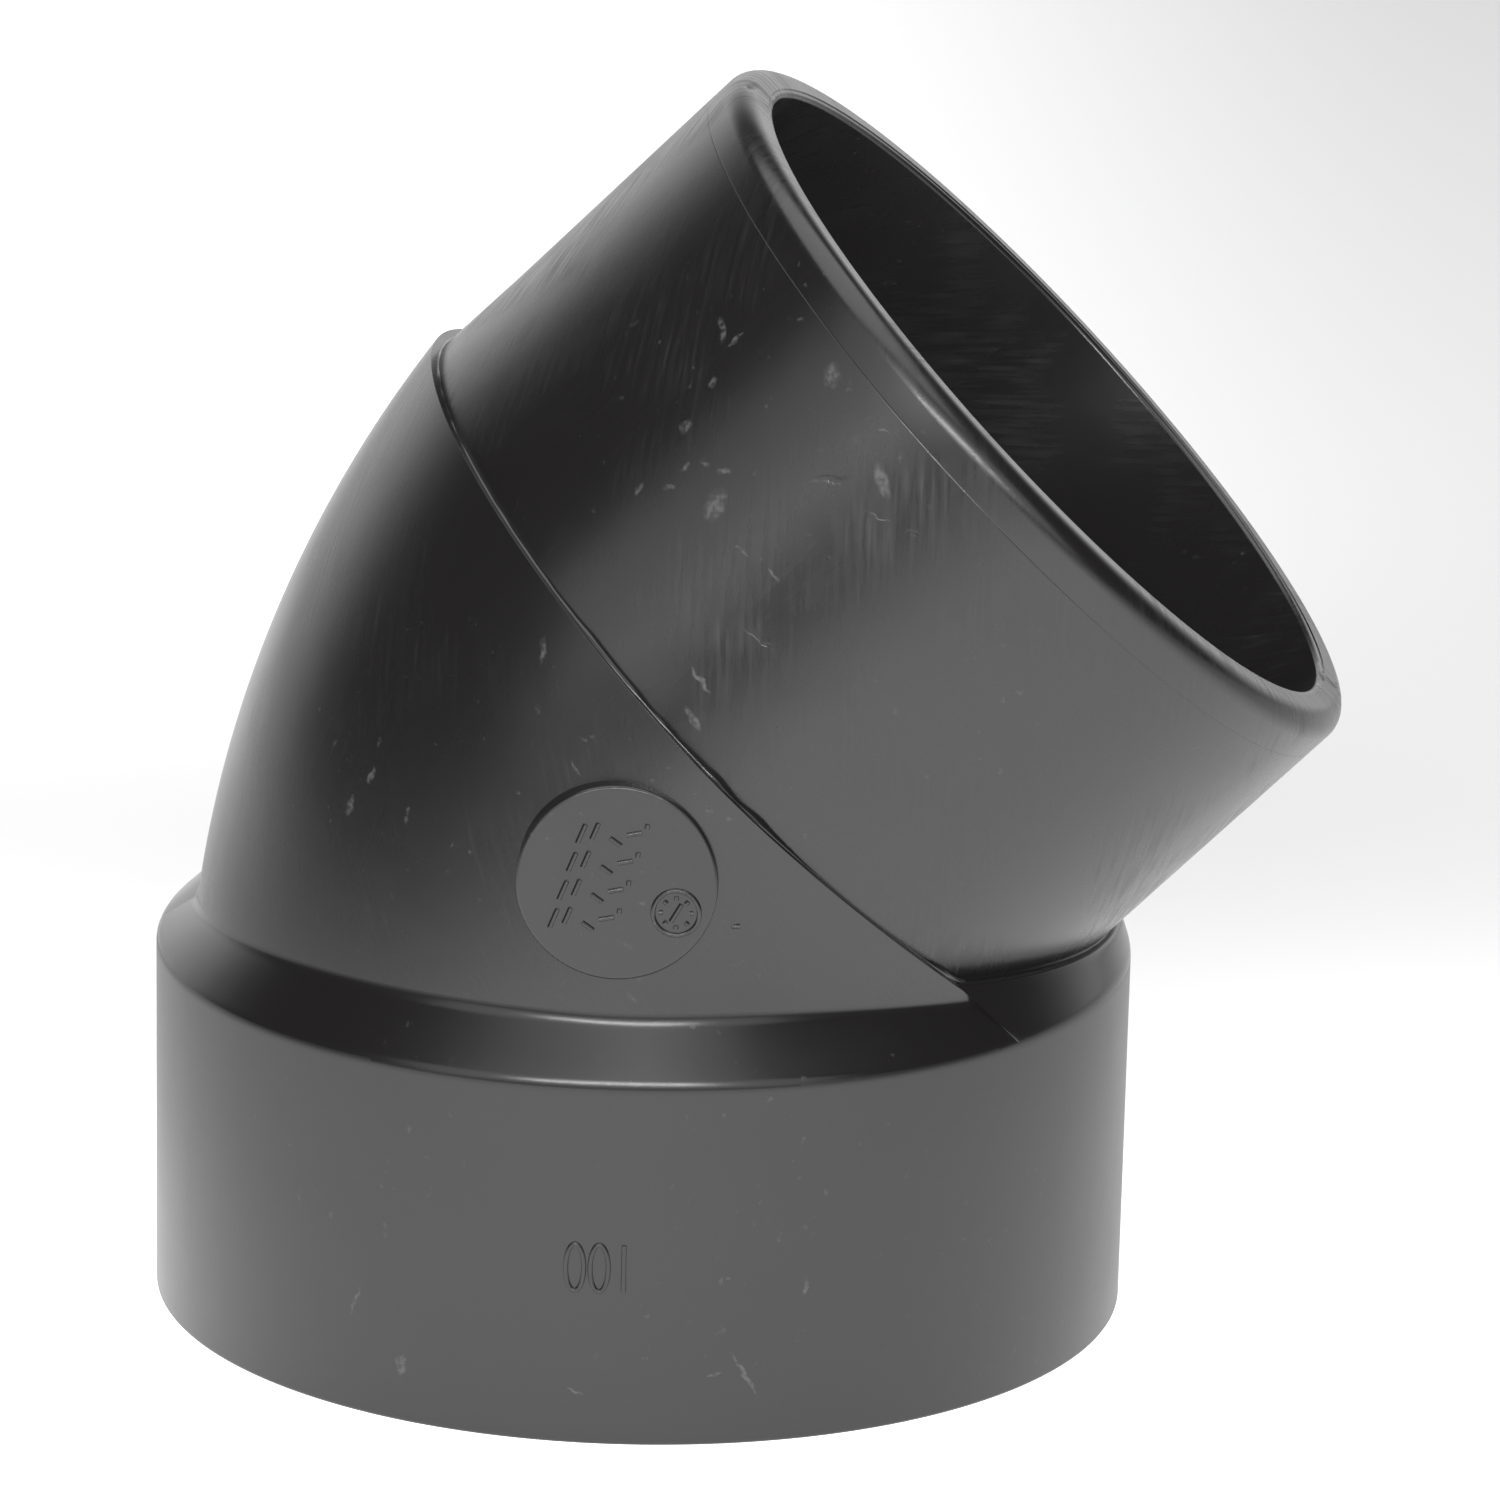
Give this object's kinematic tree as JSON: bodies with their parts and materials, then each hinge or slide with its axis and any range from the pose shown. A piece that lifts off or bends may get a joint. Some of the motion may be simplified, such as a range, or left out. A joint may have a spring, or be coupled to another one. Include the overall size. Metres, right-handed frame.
{
  "type": "pipe elbow",
  "caption": "Black plastic 45-degree street elbow for four-inch drain or duct pipe, with a socket hub at one end and a plain spigot at the other.",
  "frame": {"origin": "centre of the hub's mouth, on the plane of its end face", "axes": "+Z along the hub's axis, from the mouth into the fitting; +X the way the spigot leans; -Y the side with the marking disc"},
  "size_m": [0.1542, 0.1283, 0.1622],
  "materials": {
    "black_plastic": "semi-gloss moulded black plastic with light handling scuffs"
  },
  "bodies": {
    "root": {"hub_socket": "black_plastic", "collar": "black_plastic", "bend_body": "black_plastic", "spigot_barrel": "black_plastic", "shoulder_bead": "black_plastic", "parting_line": "black_plastic", "marking_disc": "black_plastic", "disc_marks": "black_plastic", "size_numerals": "black_plastic"}
  },
  "joints": []
}
